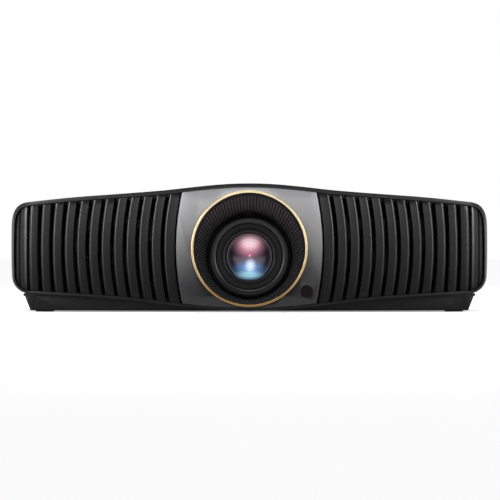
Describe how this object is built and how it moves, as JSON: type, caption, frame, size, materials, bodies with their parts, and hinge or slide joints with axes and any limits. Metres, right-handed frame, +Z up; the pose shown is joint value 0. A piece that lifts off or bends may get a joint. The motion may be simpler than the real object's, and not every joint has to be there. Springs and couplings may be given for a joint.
{
  "type": "home projector",
  "caption": "Wide home cinema projector: bowed front with upright louvres, metal lens panel, gold ring and ribbed hood around a shifting lens, sliding top hatch, keys, sockets and screw feet.",
  "frame": {"origin": "on the floor under the middle of the case, between the feet", "axes": "+Z up, -Y out of the lens, +X to the right as seen from in front"},
  "size_m": [0.4928, 0.347, 0.1318],
  "materials": {
    "case_black": "fine spark texture, satin black",
    "louvre_black": "satin black",
    "gunmetal": "satin metallic",
    "gold": "polished pale gold",
    "inner_black": "matt black",
    "dark_window": "dark infrared filter",
    "lens_glass": "coated",
    "black_aluminium": "black anodised",
    "aluminium": "die cast",
    "steel": "plated",
    "key_grey": "satin dark grey",
    "socket_black": "moulded black",
    "board": "circuit board",
    "foot_rubber": "matt rubber"
  },
  "bodies": {
    "case": {"front_frame": "case_black", "louvre_left": "louvre_black", "louvre_right": "louvre_black", "lens_panel": "gunmetal", "trim_ring": "gold", "receiver_window": "dark_window", "lens_hood": "inner_black", "shift_base": "black_aluminium", "knob_bracket": "steel", "top_cover": "case_black", "control_panel": "socket_black", "key_board": "board", "bottom_tray": "case_black", "rear_panel": "case_black", "mains_socket": "socket_black", "mains_pins": "steel", "network_socket": "socket_black", "video_one_socket": "steel", "video_two_socket": "steel", "service_socket": "steel", "serial_socket": "steel", "trigger_jack": "socket_black", "audio_jack": "socket_black", "chassis_plate": "aluminium", "main_board": "board", "light_engine": "aluminium", "heat_sink": "aluminium", "wheel_motor": "steel", "lamp_module": "inner_black", "power_supply": "board", "intake_fan_frame": "socket_black", "exhaust_fan_frame": "socket_black"},
    "upright_plate": {"shift_plate_upright": "black_aluminium"},
    "lens_unit": {"shift_plate_sideways": "black_aluminium", "lens_barrel": "inner_black", "front_lens_element": "lens_glass", "lens_retaining_ring": "inner_black"},
    "focus": {"focus_ring": "inner_black"},
    "zoom": {"zoom_ring": "inner_black"},
    "knob_upright": {"shift_knob_upright": "key_grey"},
    "knob_sideways": {"shift_knob_sideways": "key_grey"},
    "door": {"shift_door": "case_black"},
    "power": {"power_key": "key_grey"},
    "source": {"source_key": "key_grey"},
    "menu": {"menu_key": "key_grey"},
    "back": {"back_key": "key_grey"},
    "direction": {"direction_pad": "key_grey"},
    "confirm": {"confirm_key": "key_grey"},
    "wheel": {"colour_wheel": "lens_glass"},
    "intake_fan": {"intake_fan_rotor": "inner_black"},
    "exhaust_fan": {"exhaust_fan_rotor": "inner_black"},
    "foot_front_left": {"foot_pad_front_left": "foot_rubber", "foot_stud_front_left": "steel"},
    "foot_front_right": {"foot_pad_front_right": "foot_rubber", "foot_stud_front_right": "steel"},
    "foot_rear_left": {"foot_pad_rear_left": "foot_rubber", "foot_stud_rear_left": "steel"},
    "foot_rear_right": {"foot_pad_rear_right": "foot_rubber", "foot_stud_rear_right": "steel"}
  },
  "joints": [
    {"name": "lens_shift_upright", "type": "slide", "parent": "case", "child": "upright_plate", "axis": [0, 0, 1], "range_m": [-0.003, 0.003]},
    {"name": "lens_shift_sideways", "type": "slide", "parent": "upright_plate", "child": "lens_unit", "axis": [1, 0, 0], "range_m": [-0.002, 0.002]},
    {"name": "focus_turn", "type": "hinge", "parent": "lens_unit", "child": "focus", "pos_m": [0, -0.132, 0.05719], "axis": [0, 1, 0], "range_deg": [-60, 60]},
    {"name": "zoom_turn", "type": "hinge", "parent": "lens_unit", "child": "zoom", "pos_m": [0, -0.116, 0.05719], "axis": [0, 1, 0], "range_deg": [-25, 25]},
    {"name": "knob_upright_turn", "type": "hinge", "parent": "case", "child": "knob_upright", "pos_m": [-0.018, -0.0764, 0.12], "axis": [0, 0, 1], "range_deg": [-271, 271]},
    {"name": "knob_sideways_turn", "type": "hinge", "parent": "case", "child": "knob_sideways", "pos_m": [0.018, -0.0764, 0.12], "axis": [0, 0, 1], "range_deg": [-271, 271]},
    {"name": "door_slide", "type": "slide", "parent": "case", "child": "door", "axis": [0, 1, 0], "range_m": [0, 0.046]},
    {"name": "colour_wheel_spin", "type": "hinge", "parent": "case", "child": "wheel", "pos_m": [0.076, -0.0281, 0.062], "axis": [0, 1, 0], "continuous": true},
    {"name": "intake_fan_spin", "type": "hinge", "parent": "case", "child": "intake_fan", "pos_m": [-0.139, -0.1, 0.0515], "axis": [0, 1, 0], "continuous": true},
    {"name": "exhaust_fan_spin", "type": "hinge", "parent": "case", "child": "exhaust_fan", "pos_m": [0.139, -0.1, 0.0515], "axis": [0, 1, 0], "continuous": true},
    {"name": "power_press", "type": "slide", "parent": "case", "child": "power", "axis": [0.0749, 0, 0.9972], "range_m": [-0.001, 0], "stiffness_N_per_m": 400, "springref_m": 0.001},
    {"name": "source_press", "type": "slide", "parent": "case", "child": "source", "axis": [0.0749, 0, 0.9972], "range_m": [-0.001, 0], "stiffness_N_per_m": 400, "springref_m": 0.001},
    {"name": "menu_press", "type": "slide", "parent": "case", "child": "menu", "axis": [0.0749, 0, 0.9972], "range_m": [-0.001, 0], "stiffness_N_per_m": 400, "springref_m": 0.001},
    {"name": "back_press", "type": "slide", "parent": "case", "child": "back", "axis": [0.0749, 0, 0.9972], "range_m": [-0.001, 0], "stiffness_N_per_m": 400, "springref_m": 0.001},
    {"name": "direction_press", "type": "slide", "parent": "case", "child": "direction", "axis": [0.0749, 0, 0.9972], "range_m": [-0.001, 0], "stiffness_N_per_m": 400, "springref_m": 0.001},
    {"name": "confirm_press", "type": "slide", "parent": "case", "child": "confirm", "axis": [0.0749, 0, 0.9972], "range_m": [-0.001, 0], "stiffness_N_per_m": 400, "springref_m": 0.001},
    {"name": "foot_front_left_height", "type": "slide", "parent": "case", "child": "foot_front_left", "axis": [0, 0, -1], "range_m": [0, 0.012]},
    {"name": "foot_front_right_height", "type": "slide", "parent": "case", "child": "foot_front_right", "axis": [0, 0, -1], "range_m": [0, 0.012]},
    {"name": "foot_rear_left_height", "type": "slide", "parent": "case", "child": "foot_rear_left", "axis": [0, 0, -1], "range_m": [0, 0.012]},
    {"name": "foot_rear_right_height", "type": "slide", "parent": "case", "child": "foot_rear_right", "axis": [0, 0, -1], "range_m": [0, 0.012]}
  ],
  "couplings": [
    {"joint": "knob_upright_turn", "follows": "lens_shift_upright", "rad_per_m": 1570.8},
    {"joint": "knob_sideways_turn", "follows": "lens_shift_sideways", "rad_per_m": 2356.2}
  ]
}
